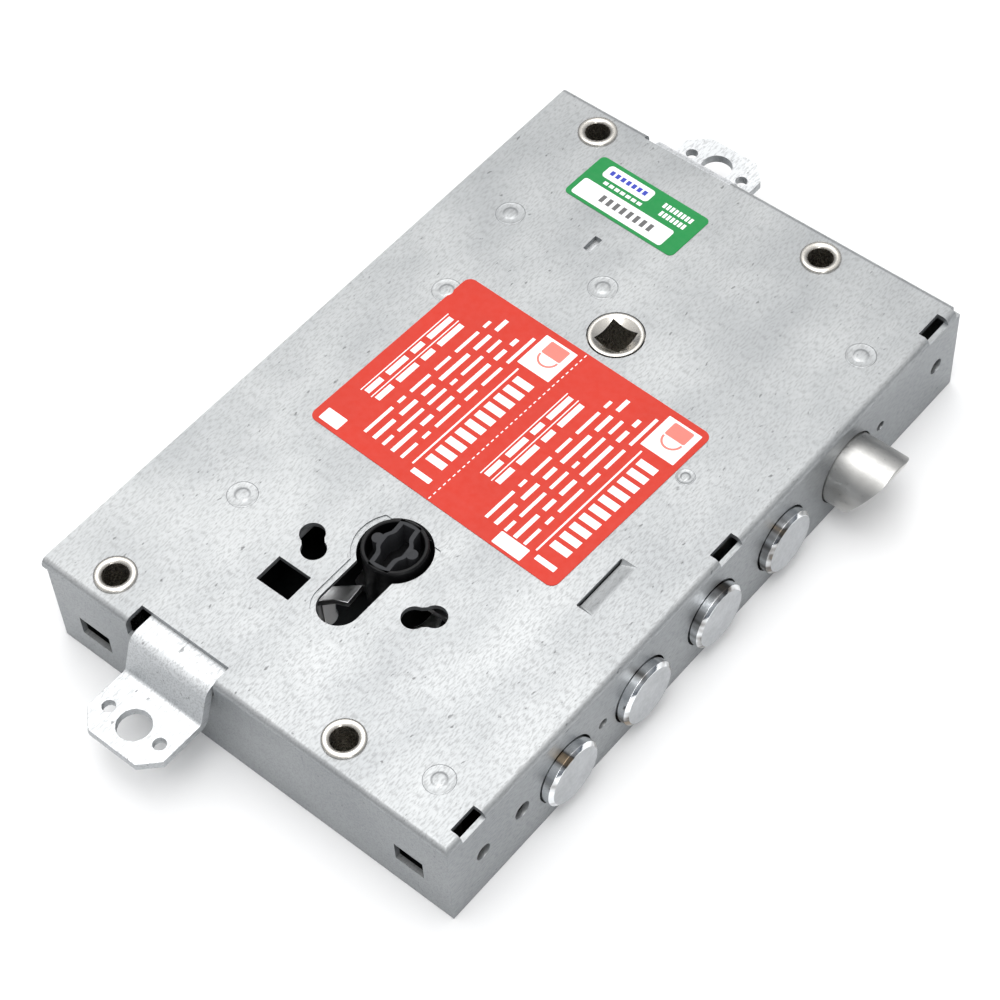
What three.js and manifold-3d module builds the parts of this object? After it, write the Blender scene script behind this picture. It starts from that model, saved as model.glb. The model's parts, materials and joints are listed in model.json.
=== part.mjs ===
// Mortise lock for an armoured door: pressed steel case, four round deadbolts on one
// carriage, a sprung latch worked by a spindle hub, and two rods for top and bottom bolts.
// Millimetres. +X points out of the front plate, +Y up the door, +Z out of the cover.
// The origin is the centre of the back plate's outer face.
import * as THREE from 'three';
import { mergeVertices } from 'three/addons/utils/BufferGeometryUtils.js';
import Module from 'manifold-3d';

const wasm = await Module();
wasm.setup();

// ---- driving dimensions -------------------------------------------------------------
const SHEET = 1.5;
const CASE = { halfX: 64.4, halfY: 100.5, depth: 30, bend: 2 };
const UNDER_COVER = CASE.depth - SHEET;
const GAP = 0.3;

// Cover openings as [x0, x1, y0, y1]; the end windows as [x0, x1, z0, z1].
const COVER_WINDOWS = [[-19.8, -9.5, -72, -63.8], [-24.1, -21.8, 57.5, 62.8]];
const END_WINDOWS = [[-54.8, -44.7, 7.6, 14.2], [47.5, 56.1, 9.7, 16.3]];
const BEND_WINDOWS = { innerX: 60.9, spans: [[86.8, 95.1], [0, 8.3], [-95.1, -87.1]] };
const ROD_NOTCH = { x0: -35.8, x1: -7.4, lowerY: -94.6, upperY: 98.4, under: 1.2 };
const REAR_RELIEF = { reach: 3, below: 1 };
const CHANNEL = { x0: 45.1, x1: 49.4, y0: -31.2, y1: -13.2, depth: 0.8 };
// Screw holes in the front plate, as [y, radius], at half the case's depth.
const FRONT_SCREW_HOLES = [[-88.8, 2.3], [-75, 2.5], [-45.3, 1.5], [67, 1.5], [91.6, 2.3]];
// The escutcheon slots have round ends, centred at [ax, ay] and [bx, by].
const ESCUTCHEON = { radius: 3.25, slots: [[-18, -54, -14.7, -57.2], [20.9, -54, 17.3, -57.2]] };

const BOLT = { radius: 9, hole: 10, axisZ: 13, tip: 67.4, tail: 25, chamfer: 1 };
const BOLT_Y = [-59.3, -31.3, -3.3, 24.7];
const BOLT_GUIDE = { x0: 54.5, x1: 56.5, margin: 13, top: 20 };
const RIVET = { x: 30, hole: 2.8, holeFloor: 10, holeTop: 23, shank: 2.5, foot: 12, head: 3.4, rise: 1 };

const LATCH = {
  radius: 10, hole: 10.6, y: 52.5, axisZ: 13, tip: 78.9, tail: 42, bevelStart: 66.9, land: 1.2, edge: 0.5,
};
const LATCH_BLADE = { x0: -12, y0: -4.4, y1: 4.5, z0: 11, z1: 15 };
const LATCH_LUG = { x0: -9, x1: -3.2, y0: -2, y1: 5.5, z1: 20 };
const LATCH_GUIDE = { x0: 12, x1: 14, halfY: 8.5, top: 20, slack: 0.4 };
const LATCH_SPRING = { x0: 14.8, x1: 41.2, radius: 6.2, wire: 1, turns: 6 };

const HUB = { x: 1, y: 39.7, body: 8, boss: 7.3, square: 8, foot: 0.3, proud: 0.3 };
const HUB_DISH = { top: 5.9, floor: 4.2, depth: 1.1 };
const HUB_ARM = { width: 6, reach: 19, z0: 15.6, z1: 19.6 };
const CYLINDER = { x: 1, y: -45.3, radius: 9.5, leg: 11.2, bottom: -71.1 };
// The black blank in the cylinder opening, with a taper at its inner end.
const BLANK = { radius: 8.3, foot: 3, taperEnd: 8.3, taper: 3.2, proud: 1.8, rim: 1.4, recess: 1 };
const BLANK_GRIP = { reach: 4.6, radius: 2.4, heart: 4, height: 1.2 };
const BUSH = { tube: 4.4, bore: 3.2, flange: 5.4, proud: 0.8, clearance: 0.3 };
const BUSH_PLACES = { rear_lower: [-47, -92.3], front_lower: [26.6, -92.3],
  rear_upper: [-47, 92.3], front_upper: [26.6, 92.3] };
const PILLAR_PLACES = { rear_upper: [-46.8, 55.3], front_upper: [53.6, 72.1], rear_middle: [-42.7, 24.7],
  rear_lower: [-39.4, -55.9], front_lower: [50.6, -86.8] };
const PILLAR_RADIUS = 3.9;

const CARRIAGE = { z0: 22.4, z1: 24.4, rear: -52, shoulder: -8, front: 33.5, top: 30, bottom: -66 };
const CARRIAGE_STEP = { x0: -28, x1: 14, upperY: -26, lowerY: -36 };
const CARRIAGE_SLOT = { y: -14, x0: -44.2, x1: 8.2, radius: 3.3 };
const CARRIAGE_POST = { radius: 3, rearX: -16, frontX: 8 };
// Clearances in the carriage, as [x0, x1, y0, y1].
const SCREW_PATH = [13, 24.8, -60.4, -50.1];
const KEY_PATH = [-30, 14, -40, -35.2];
const CAM_RACK = { x0: -26, x1: 15, y0: -35.2, y1: -26, z0: 14 };
const CAM_NOTCH = { places: [-20, -6, 8], mouth: 4.5, root: 3, top: -30.5, z0: 13, z1: 21 };

const ROD = { x0: -33.2, x1: -8, z0: 25.7, z1: 28.2, tabTop: 18, thickness: 2.5 };
const ROD_REACH = { lower: 22.7, upper: 18.1 };
const ROD_TAB = { start: 90, overlap: 2, chamfer: 4.8 };
const ROD_EYE = { inset: 7.8, radius: 4.4, screw: 1.7, screwOffset: 8.4 };
const ROD_GUIDE = { x0: -35.5, x1: -7.5, near: 80, far: 88, z0: 22.5 };
const UPPER_ROD = { legLow: 22, legTop: 46, strapLow: 44 };
const LOWER_ROD = { legTop: 23, neckX: -21.5, neckLow: -78, neckTop: 3, strapTop: -75.5 };
const JOGGLE = { start: 99.2, lean: 70, outer: 4, inner: 1 };
const PINION = { x: -20.6, y: 15, smallTeeth: 15, largeTeeth: 21, module: 1, bore: 2.6 };
const SMALL_R = PINION.smallTeeth * PINION.module / 2;
const LARGE_R = PINION.largeTeeth * PINION.module / 2;
const TOOTH_PITCH = Math.PI * PINION.module;
const TOOTH = { addendum: 0.8, dedendum: 1.1, thinning: 0.2, pressure: THREE.MathUtils.degToRad(20) };

const RED_LABEL = { x: -1.65, y: 0.55, width: 81, height: 59.7, corner: 2.3, turn: -2.05 };
const GREEN_LABEL = { x: -22.2, y: 77.7, width: 36.8, height: 16.4, corner: 1.5, turn: -1.9 };
const LABEL_THICKNESS = 0.15;

// ---- solids and meshes --------------------------------------------------------------
const group = new THREE.Group();

function finish(color, roughness, metalness) {
  return { color, roughness, metalness };
}

const GALVANISED = finish(0xc4c8ca, 0.45, 0.9);
const CHROME = finish(0xd8dadb, 0.15, 1);
const NICKEL = finish(0xb9b3a8, 0.35, 1);
const STEEL = finish(0x9a9c9e, 0.4, 1);
const BLACK = finish(0x161718, 0.4, 0);
const RED = finish(0xe2432f, 0.5, 0);
const GREEN = finish(0x1f9a4d, 0.5, 0);

function solid(geometry) {
  const bare = geometry.index ? geometry.toNonIndexed() : geometry.clone();
  bare.deleteAttribute('normal');
  bare.deleteAttribute('uv');
  const merged = mergeVertices(bare, 1e-4);
  return new wasm.Manifold(new wasm.Mesh({
    numProp: 3,
    vertProperties: new Float32Array(merged.attributes.position.array),
    triVerts: new Uint32Array(merged.index.array),
  }));
}

function cut(body, ...tools) {
  return tools.reduce((left, tool) => left.subtract(tool), body);
}

function join(body, ...others) {
  return others.reduce((whole, other) => whole.add(other), body);
}

function addPart(name, body, look) {
  const mesh = body.getMesh();
  const geometry = new THREE.BufferGeometry();
  geometry.setAttribute('position', new THREE.BufferAttribute(new Float32Array(mesh.vertProperties), 3));
  geometry.setIndex(new THREE.BufferAttribute(new Uint32Array(mesh.triVerts), 1));
  geometry.computeVertexNormals();
  const part = new THREE.Mesh(geometry, new THREE.MeshStandardMaterial(look));
  part.name = name;
  group.add(part);
}

function box(x0, x1, y0, y1, z0, z1) {
  const geometry = new THREE.BoxGeometry(x1 - x0, y1 - y0, z1 - z0);
  return solid(geometry.translate((x0 + x1) / 2, (y0 + y1) / 2, (z0 + z1) / 2));
}

// Extrudes a THREE.Shape drawn in X and Y between two heights.
function plate(shape, z0, z1, curveSegments = 8) {
  const geometry = new THREE.ExtrudeGeometry(shape, { depth: z1 - z0, bevelEnabled: false, curveSegments });
  return solid(geometry.translate(0, 0, z0));
}

// Extrudes a shape whose first coordinate is Y and whose second is Z, from x0 to x1.
function alongX(shape, x0, x1, curveSegments = 8) {
  const geometry = new THREE.ExtrudeGeometry(shape, { depth: x1 - x0, bevelEnabled: false, curveSegments });
  geometry.rotateX(Math.PI / 2).rotateZ(Math.PI / 2);
  return solid(geometry.translate(x0, 0, 0));
}

// Extrudes a shape whose first coordinate is X and whose second is Z, from y0 to y1.
function alongY(shape, y0, y1, curveSegments = 8) {
  const geometry = new THREE.ExtrudeGeometry(shape, { depth: y1 - y0, bevelEnabled: false, curveSegments });
  geometry.rotateX(Math.PI / 2);
  return solid(geometry.translate(0, y1, 0));
}

function pin(x, y, radius, z0, z1, segments = 20) {
  const geometry = new THREE.CylinderGeometry(radius, radius, z1 - z0, segments);
  return solid(geometry.rotateX(Math.PI / 2).translate(x, y, (z0 + z1) / 2));
}

function pinAlongX(y, z, radius, x0, x1, segments = 24) {
  const geometry = new THREE.CylinderGeometry(radius, radius, x1 - x0, segments);
  return solid(geometry.rotateZ(Math.PI / 2).translate((x0 + x1) / 2, y, z));
}

// Turns a profile of [radius, height] points about +Z through (x, y).
function turned(x, y, profile, segments = 20) {
  const geometry = new THREE.LatheGeometry(profile.map(([r, h]) => new THREE.Vector2(r, h)), segments);
  return solid(geometry.rotateX(Math.PI / 2).translate(x, y, 0));
}

function polygon(points) {
  return new THREE.Shape(points.map(([x, y]) => new THREE.Vector2(x, y)));
}

function roundedRectangle(width, height, corner) {
  const shape = new THREE.Shape();
  const w = width / 2;
  const h = height / 2;
  shape.moveTo(-w + corner, -h);
  shape.lineTo(w - corner, -h);
  shape.absarc(w - corner, -h + corner, corner, -Math.PI / 2, 0);
  shape.lineTo(w, h - corner);
  shape.absarc(w - corner, h - corner, corner, 0, Math.PI / 2);
  shape.lineTo(-w + corner, h);
  shape.absarc(-w + corner, h - corner, corner, Math.PI / 2, Math.PI);
  shape.lineTo(-w, -h + corner);
  shape.absarc(-w + corner, -h + corner, corner, Math.PI, 1.5 * Math.PI);
  return shape;
}

// A slot with round ends from one centre to another.
function slot(ax, ay, bx, by, radius, z0, z1) {
  const turn = Math.atan2(by - ay, bx - ax);
  const shape = new THREE.Shape();
  shape.absarc(bx, by, radius, turn - Math.PI / 2, turn + Math.PI / 2);
  shape.absarc(ax, ay, radius, turn + Math.PI / 2, turn + 1.5 * Math.PI);
  return plate(shape, z0, z1, 5);
}

// ---- openings that go through both faces of the case --------------------------------
function cylinderOpening(grow, z0, z1) {
  const radius = CYLINDER.radius + grow;
  const halfLeg = CYLINDER.leg / 2 + grow;
  const round = pin(CYLINDER.x, CYLINDER.y, radius, z0, z1, 24);
  const foot = CYLINDER.bottom + CYLINDER.leg / 2;
  return join(round, slot(CYLINDER.x, CYLINDER.y, CYLINDER.x, foot, halfLeg, z0, z1));
}

function escutcheonSlots(z0, z1) {
  return ESCUTCHEON.slots.map(([ax, ay, bx, by]) => slot(ax, ay, bx, by, ESCUTCHEON.radius, z0, z1));
}

function facePlateHoles(z0, z1) {
  const bushes = Object.values(BUSH_PLACES).map(([x, y]) => pin(x, y, BUSH.tube + BUSH.clearance, z0, z1));
  const hub = pin(HUB.x, HUB.y, HUB.boss + GAP, z0, z1, 24);
  return [...bushes, hub, cylinderOpening(0, z0, z1), ...escutcheonSlots(z0, z1)];
}

// ---- case ---------------------------------------------------------------------------
// The cover's outer or inner form: bent down along the front edge and both ends.
function coverForm(inset) {
  const radius = Math.max(CASE.bend - inset, 0.5);
  const top = CASE.depth - inset;
  const front = CASE.halfX - inset;
  const end = CASE.halfY - inset;
  const floor = inset > 0 ? -1 : 0;
  const rear = inset > 0 ? -CASE.halfX - 1 : -CASE.halfX;
  const side = new THREE.Shape();
  side.moveTo(rear, floor);
  side.lineTo(front, floor);
  side.lineTo(front, top - radius);
  side.absarc(front - radius, top - radius, radius, 0, Math.PI / 2);
  side.lineTo(rear, top);
  const across = new THREE.Shape();
  across.moveTo(-end, floor);
  across.lineTo(end, floor);
  across.lineTo(end, top - radius);
  across.absarc(end - radius, top - radius, radius, 0, Math.PI / 2);
  across.lineTo(-end + radius, top);
  across.absarc(-end + radius, top - radius, radius, Math.PI / 2, Math.PI);
  const steps = 3;
  return alongY(side, -end - 1, end + 1, steps).intersect(alongX(across, rear, front + 1, steps));
}

// Tools start below the sheet and end above it, or either side of the front plate.
const COVER_LOW = 20;
const COVER_OVER = CASE.depth + 1;
const FRONT_INSIDE = 60;
const FRONT_OUTSIDE = 66;
const END_INSIDE = -95;

function coverWindows() {
  return COVER_WINDOWS.map(([x0, x1, y0, y1]) => box(x0, x1, y0, y1, COVER_LOW, COVER_OVER));
}

function bendWindows() {
  const behindPlate = CASE.halfX - SHEET + 0.1;
  return BEND_WINDOWS.spans.flatMap(([y0, y1]) => [
    box(BEND_WINDOWS.innerX, behindPlate, y0, y1, COVER_LOW, COVER_OVER),
    box(BEND_WINDOWS.innerX, CASE.halfX + 1, y0, y1, CASE.depth - CASE.bend, COVER_OVER),
  ]);
}

function rodNotches() {
  const { x0, x1, lowerY, upperY, under } = ROD_NOTCH;
  const low = ROD.z0 - under;
  return [
    box(x0, x1, -CASE.halfY - 1, lowerY, low, COVER_OVER),
    box(x0, x1, upperY, CASE.halfY + 1, low, COVER_OVER),
  ];
}

function endWindows() {
  return END_WINDOWS.map(([x0, x1, z0, z1]) => box(x0, x1, -CASE.halfY - 1, END_INSIDE, z0, z1));
}

// Clears the rear wall's ends, which stand inside the cover's end walls.
function rearReliefs() {
  const rear = -CASE.halfX - 1;
  const front = -CASE.halfX + SHEET + GAP;
  const top = UNDER_COVER - REAR_RELIEF.below;
  const inner = CASE.halfY - REAR_RELIEF.reach;
  const outer = CASE.halfY + 0.1;
  return [box(rear, front, inner, outer, -1, top), box(rear, front, -outer, -inner, -1, top)];
}

function frontHole(y, z, radius, segments) {
  return pinAlongX(y, z, radius, FRONT_INSIDE, FRONT_OUTSIDE, segments);
}

function makeCover() {
  const boltHoles = BOLT_Y.map((y) => frontHole(y, BOLT.axisZ, BOLT.hole));
  const latchHole = frontHole(LATCH.y, LATCH.axisZ, LATCH.hole);
  const screwHoles = FRONT_SCREW_HOLES.map(([y, radius]) => frontHole(y, CASE.depth / 2, radius, 16));
  const { x0, x1, y0, y1, depth } = CHANNEL;
  const channel = box(x0, x1, y0, y1, CASE.depth - depth, COVER_OVER);
  return cut(
    coverForm(0), coverForm(SHEET), ...facePlateHoles(COVER_LOW, COVER_OVER), ...coverWindows(),
    ...bendWindows(), ...rodNotches(), ...endWindows(), ...rearReliefs(), ...boltHoles, latchHole,
    ...screwHoles, channel,
  );
}

function makeBase() {
  const endY = CASE.halfY - SHEET - GAP;
  const back = box(-CASE.halfX, CASE.halfX - SHEET - GAP, -endY, endY, 0, SHEET);
  const rearWall = box(-CASE.halfX, -CASE.halfX + SHEET, -endY, endY, 0, UNDER_COVER - GAP);
  return cut(join(back, rearWall), ...facePlateHoles(-1, SHEET + 1));
}

function makeBush([x, y]) {
  const top = CASE.depth + BUSH.proud;
  return turned(x, y, [
    [BUSH.bore, 0], [BUSH.tube, 0], [BUSH.tube, CASE.depth], [BUSH.flange, CASE.depth],
    [BUSH.flange, top - 0.4], [BUSH.flange - 0.6, top], [BUSH.bore + 0.8, top], [BUSH.bore, top - 0.8],
    [BUSH.bore, 0],
  ]);
}

function makePillar([x, y]) {
  return turned(x, y, [[0, SHEET], [PILLAR_RADIUS, SHEET], [PILLAR_RADIUS, UNDER_COVER], [0, UNDER_COVER]]);
}

// A plain post riveted between the back plate and the cover.
function makePost(x, y, radius) {
  return pin(x, y, radius, SHEET, UNDER_COVER);
}

function makeRodGuide(y0, y1) {
  return box(ROD_GUIDE.x0, ROD_GUIDE.x1, y0, y1, ROD_GUIDE.z0, ROD.z0 - GAP);
}

// A comb of half-round seats that carries the deadbolts just behind the front plate.
function makeBoltGuide() {
  const { x0, x1, margin, top } = BOLT_GUIDE;
  const seat = BOLT.radius + GAP;
  const seats = BOLT_Y.map((y) => join(
    pinAlongX(y, BOLT.axisZ, seat, x0 - 1, x1 + 1),
    box(x0 - 1, x1 + 1, y - seat, y + seat, BOLT.axisZ, top + 1),
  ));
  return cut(box(x0, x1, BOLT_Y[0] - margin, BOLT_Y[3] + margin, SHEET, top), ...seats);
}

// ---- deadbolts and their carriage ---------------------------------------------------
function makeDeadbolt(y) {
  const { radius, tip, tail, chamfer } = BOLT;
  const profile = [[0, tail], [radius - chamfer, tail], [radius, tail + chamfer], [radius, tip - chamfer],
    [radius - chamfer, tip], [0, tip]];
  const geometry = new THREE.LatheGeometry(profile.map(([r, h]) => new THREE.Vector2(r, h)), 24);
  const bar = solid(geometry.rotateZ(-Math.PI / 2).translate(0, y, BOLT.axisZ));
  return cut(bar, pin(RIVET.x, y, RIVET.hole, RIVET.holeFloor, RIVET.holeTop, 16));
}

function makeBoltRivet(y) {
  const { x, shank, foot, head, rise } = RIVET;
  const top = CARRIAGE.z1 + rise;
  return turned(x, y, [[0, foot], [shank, foot], [shank, CARRIAGE.z1], [head, CARRIAGE.z1],
    [head, top - 0.3], [head - 0.4, top], [0, top]], 16);
}

// Outline of a straight-flanked rack on the X axis as its pitch line, with teeth towards +Y.
function rackProfile(firstGap, count, back) {
  const half = TOOTH_PITCH / 4 - TOOTH.thinning / 2;
  const lean = Math.tan(TOOTH.pressure);
  const points = [];
  for (let i = 0; i < count; i += 1) {
    const middle = firstGap + TOOTH_PITCH * (i + 0.5);
    points.push([middle - half - TOOTH.dedendum * lean, -TOOTH.dedendum]);
    points.push([middle - half + TOOTH.addendum * lean, TOOTH.addendum]);
    points.push([middle + half - TOOTH.addendum * lean, TOOTH.addendum]);
    points.push([middle + half + TOOTH.dedendum * lean, -TOOTH.dedendum]);
  }
  points.push([firstGap + TOOTH_PITCH * count, -TOOTH.dedendum]);
  points.push([firstGap + TOOTH_PITCH * count, -back]);
  points.push([firstGap, -back]);
  points.push([firstGap, -TOOTH.dedendum]);
  return points;
}

// Outline of a spur gear with involute flanks and one tooth centred on +X.
function gearShape(teeth) {
  const pitch = teeth * PINION.module / 2;
  const base = pitch * Math.cos(TOOTH.pressure);
  const root = pitch - TOOTH.dedendum;
  const outer = pitch + TOOTH.addendum;
  const involute = (radius) => {
    const angle = Math.acos(Math.min(1, base / radius));
    return Math.tan(angle) - angle;
  };
  const halfAtPitch = Math.PI / (2 * teeth) - TOOTH.thinning / (2 * pitch);
  const halfAt = (radius) => halfAtPitch + involute(pitch) - involute(Math.max(radius, base));
  const levels = [root, (root + outer) / 2, outer];
  const points = [];
  for (let i = 0; i < teeth; i += 1) {
    const middle = (2 * Math.PI * i) / teeth;
    const rise = levels.map((radius) => [radius, middle - halfAt(radius)]);
    const fall = levels.map((radius) => [radius, middle + halfAt(radius)]).reverse();
    [...rise, ...fall].forEach(([radius, angle]) => {
      points.push([radius * Math.cos(angle), radius * Math.sin(angle)]);
    });
  }
  return polygon(points);
}

function makeCarriage() {
  const { z0, z1, rear, shoulder, front, top, bottom } = CARRIAGE;
  const step = CARRIAGE_STEP;
  const rackLine = PINION.y - LARGE_R;
  const upper = rackLine - TOOTH.dedendum - 1;
  const outline = polygon([
    [rear, step.upperY], [step.x0, step.upperY], [step.x0, step.lowerY], [step.x1, step.lowerY],
    [step.x1, bottom], [front, bottom], [front, top], [shoulder, top], [shoulder, upper], [rear, upper],
  ]);
  const body = plate(outline, z0, z1);
  // Tooth 16 of the large wheel stands a quarter pitch past straight down.
  const gapAtWheel = PINION.x + TOOTH_PITCH / 4;
  const teethBehind = Math.floor((gapAtWheel - rear) / TOOTH_PITCH);
  const firstGap = gapAtWheel - TOOTH_PITCH * teethBehind;
  const rack = plate(polygon(rackProfile(firstGap, teethBehind + 1, 3)), z0, z1);
  const { x0, x1, y, radius } = CARRIAGE_SLOT;
  const guide = slot(x0, y, x1, y, radius, z0 - 1, z1 + 1);
  const paths = [SCREW_PATH, KEY_PATH].map((span) => box(...span, z0 - 1, z1 + 1));
  const rivets = BOLT_Y.map((boltY) => pin(RIVET.x, boltY, RIVET.hole, z0 - 1, z1 + 1, 16));
  return cut(join(body, rack.translate([0, rackLine, 0])), guide, ...paths, ...rivets);
}

// The bar under the carriage that the key's cam drives, one notch for each turn.
function makeCamRack() {
  const { x0, x1, y0, y1, z0 } = CAM_RACK;
  const { mouth, root, top } = CAM_NOTCH;
  const low = y0 - 5;
  const notches = CAM_NOTCH.places.map((x) => {
    const notch = polygon([[x - mouth, low], [x + mouth, low], [x + root, top], [x - root, top]]);
    return plate(notch, CAM_NOTCH.z0, CAM_NOTCH.z1);
  });
  return cut(box(x0, x1, y0, y1, z0, CARRIAGE.z0), ...notches);
}

// ---- pinion and rods ----------------------------------------------------------------
function makePinion() {
  const wheels = join(
    plate(gearShape(PINION.largeTeeth), CARRIAGE.z0, CARRIAGE.z1),
    pin(0, 0, SMALL_R - TOOTH.dedendum - 0.4, CARRIAGE.z1 - 0.2, ROD.z0 + 0.2),
    plate(gearShape(PINION.smallTeeth), ROD.z0, ROD.z1 - 0.2),
  );
  return cut(wheels, pin(0, 0, PINION.bore, 0, 40)).translate([PINION.x, PINION.y, 0]);
}

// A rack along Y, teeth towards the pinion. side is +1 on the +X side of the pinion.
function rodRack(side, gapY, count) {
  const points = rackProfile(gapY, count, 2.5)
    .map(([along, out]) => [PINION.x + side * (SMALL_R - out), along]);
  return plate(polygon(points), ROD.z0, ROD.z1);
}

// The joggled end that stands out of the case, drawn in Y and Z for the +Y end.
function rodTab(reach) {
  const { z0, z1, tabTop, thickness, x0, x1 } = ROD;
  const { start, chamfer } = ROD_TAB;
  const { inset, radius, screw, screwOffset } = ROD_EYE;
  const end = CASE.halfY + reach;
  const lean = THREE.MathUtils.degToRad(JOGGLE.lean);
  const drop = z1 - tabTop - (JOGGLE.outer + JOGGLE.inner) * (1 - Math.cos(lean));
  const run = (JOGGLE.outer + JOGGLE.inner) * Math.sin(lean) + drop / Math.tan(lean);
  const high = { y: JOGGLE.start, z: z1 - JOGGLE.outer };
  const low = { y: JOGGLE.start + run, z: tabTop + JOGGLE.inner };
  const quarter = Math.PI / 2;
  const strap = new THREE.Shape();
  strap.moveTo(start, z1);
  strap.lineTo(high.y, z1);
  strap.absarc(high.y, high.z, JOGGLE.outer, quarter, quarter - lean, true);
  strap.absarc(low.y, low.z, JOGGLE.inner, -quarter - lean, -quarter, false);
  strap.lineTo(end, tabTop);
  strap.lineTo(end, tabTop - thickness);
  strap.absarc(low.y, low.z, JOGGLE.inner + thickness, -quarter, -quarter - lean, true);
  strap.absarc(high.y, high.z, JOGGLE.outer - thickness, quarter - lean, quarter, false);
  strap.lineTo(start, z0);
  const middle = (x0 + x1) / 2;
  const holeY = end - inset;
  const corners = [x0, x1].map((x) => {
    const inward = x === x0 ? chamfer : -chamfer;
    return plate(polygon([[x - inward, end - chamfer * 2], [x, end - chamfer], [x + inward, end],
      [x + inward, end + 1], [x - inward, end + 1]]), 0, CASE.depth);
  });
  const holes = [
    pin(middle, holeY, radius, 0, CASE.depth),
    pin(middle - screwOffset, holeY, screw, 0, CASE.depth, 12),
    pin(middle + screwOffset, holeY, screw, 0, CASE.depth, 12),
  ];
  return cut(alongX(strap, x0, x1, 4), ...holes, ...corners);
}

function makeUpperRod() {
  const { x0, x1, z0, z1 } = ROD;
  const legInner = PINION.x + SMALL_R + TOOTH.dedendum;
  const leg = box(legInner, x1, PINION.y - UPPER_ROD.legLow, UPPER_ROD.legTop, z0, z1);
  const strap = box(x0, x1, UPPER_ROD.strapLow, ROD_TAB.start + ROD_TAB.overlap, z0, z1);
  const rack = rodRack(1, PINION.y - TOOTH_PITCH * 7, 8);
  return join(leg, strap, rack, rodTab(ROD_REACH.upper));
}

function makeLowerRod() {
  const { x0, x1, z0, z1 } = ROD;
  const legInner = PINION.x - SMALL_R - TOOTH.dedendum;
  const leg = box(x0, legInner, 0, PINION.y + LOWER_ROD.legTop, z0, z1);
  const neck = box(x0, LOWER_ROD.neckX, LOWER_ROD.neckLow, LOWER_ROD.neckTop, z0, z1);
  const strap = box(x0, x1, -ROD_TAB.start - ROD_TAB.overlap, LOWER_ROD.strapTop, z0, z1);
  const rack = rodRack(-1, PINION.y - TOOTH_PITCH * 1.5, 9);
  const tab = rodTab(ROD_REACH.lower).mirror([0, 1, 0]);
  return join(leg, neck, strap, rack, tab);
}

// ---- latch, hub and spring ----------------------------------------------------------
function makeLatch() {
  const { radius, y, axisZ, tip, tail, bevelStart, land, edge } = LATCH;
  const profile = [[0, tail], [radius, tail], [radius, tip - edge], [radius - edge, tip], [0, tip]];
  const geometry = new THREE.LatheGeometry(profile.map(([r, h]) => new THREE.Vector2(r, h)), 36);
  const bar = solid(geometry.rotateZ(-Math.PI / 2).translate(0, y, axisZ));
  const high = axisZ + radius - land;
  const low = axisZ - radius;
  const slope = (tip - bevelStart) / (high - low);
  const past = 5;
  const wedge = polygon([[tip, high], [tip + past, high], [tip + past, low - past],
    [bevelStart - past * slope, low - past]]);
  return cut(bar, alongY(wedge, y - 2 * radius, y + 2 * radius));
}

function makeLatchTail() {
  const blade = LATCH_BLADE;
  const lug = LATCH_LUG;
  return join(
    box(blade.x0, LATCH.tail, LATCH.y + blade.y0, LATCH.y + blade.y1, blade.z0, blade.z1),
    box(lug.x0, lug.x1, LATCH.y + lug.y0, LATCH.y + lug.y1, blade.z1 - 1, lug.z1),
  );
}

function makeLatchGuide() {
  const { x0, x1, halfY, top, slack } = LATCH_GUIDE;
  const blade = LATCH_BLADE;
  const wall = box(x0, x1, LATCH.y - halfY, LATCH.y + halfY, SHEET, top);
  return cut(wall, box(x0 - 1, x1 + 1, LATCH.y + blade.y0 - slack, LATCH.y + blade.y1 + slack,
    blade.z0 - slack, blade.z1 + slack));
}

// A helical spring round the latch's tail, drawn as one tube along its centre line.
function makeLatchSpring() {
  const { x0, x1, radius, wire, turns } = LATCH_SPRING;
  class Helix extends THREE.Curve {
    getPoint(t, target = new THREE.Vector3()) {
      const angle = 2 * Math.PI * turns * t;
      const across = LATCH.y + radius * Math.cos(angle);
      return target.set(x0 + (x1 - x0) * t, across, LATCH.axisZ + radius * Math.sin(angle));
    }
  }
  const section = new THREE.Shape();
  section.absarc(0, 0, wire / 2, 0, 2 * Math.PI);
  const geometry = new THREE.ExtrudeGeometry(section, {
    steps: turns * 10, curveSegments: 3, bevelEnabled: false, extrudePath: new Helix(),
  });
  return solid(geometry);
}

function makeHub() {
  const { x, y, body, boss, square, foot, proud } = HUB;
  const top = CASE.depth + proud;
  const dish = top - HUB_DISH.depth;
  const core = turned(x, y, [[0, foot], [boss, foot], [boss, 2], [body, 2], [body, UNDER_COVER - GAP],
    [boss, UNDER_COVER - GAP], [boss, top], [HUB_DISH.top, top], [HUB_DISH.floor, dish], [0, dish]], 24);
  const { width, reach, z0, z1 } = HUB_ARM;
  const arm = box(x - width / 2, x + width / 2, y, y + reach, z0, z1);
  const half = square / 2;
  return cut(join(core, arm), box(x - half, x + half, y - half, y + half, -1, top + 1));
}

// ---- levers -------------------------------------------------------------------------
const DETENT = { x: 38, y: 38, z0: 22.6, z1: 24.2, post: 2.5 };
const BLOCKER = { x: -12, y: -28, z0: 4, z1: 7, post: 2, postTop: 9, toeX: -7.8 };

function makeDetentLever() {
  const { x, y, z0, z1, post } = DETENT;
  const outline = polygon([[x + 4, y - 3], [x + 4, y + 3], [x - 6, y + 4], [14, y + 2], [14, 32],
    [15, 30.4], [17, 30.4], [18, 32], [18.6, y - 2], [x - 5, y - 3.6]]);
  return cut(plate(outline, z0, z1), pin(x, y, post + 0.05, z0 - 1, z1 + 1));
}

function makeDetentSpring() {
  const { x, y, z0, z1 } = DETENT;
  const strip = polygon([[x - 2, y + 3.7], [x + 6, y + 3.1], [x + 6, y + 3.6], [x - 1.6, y + 4.2],
    [24, y + 6.6], [23.8, y + 6.1]]);
  return plate(strip, z0, z1);
}

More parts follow.
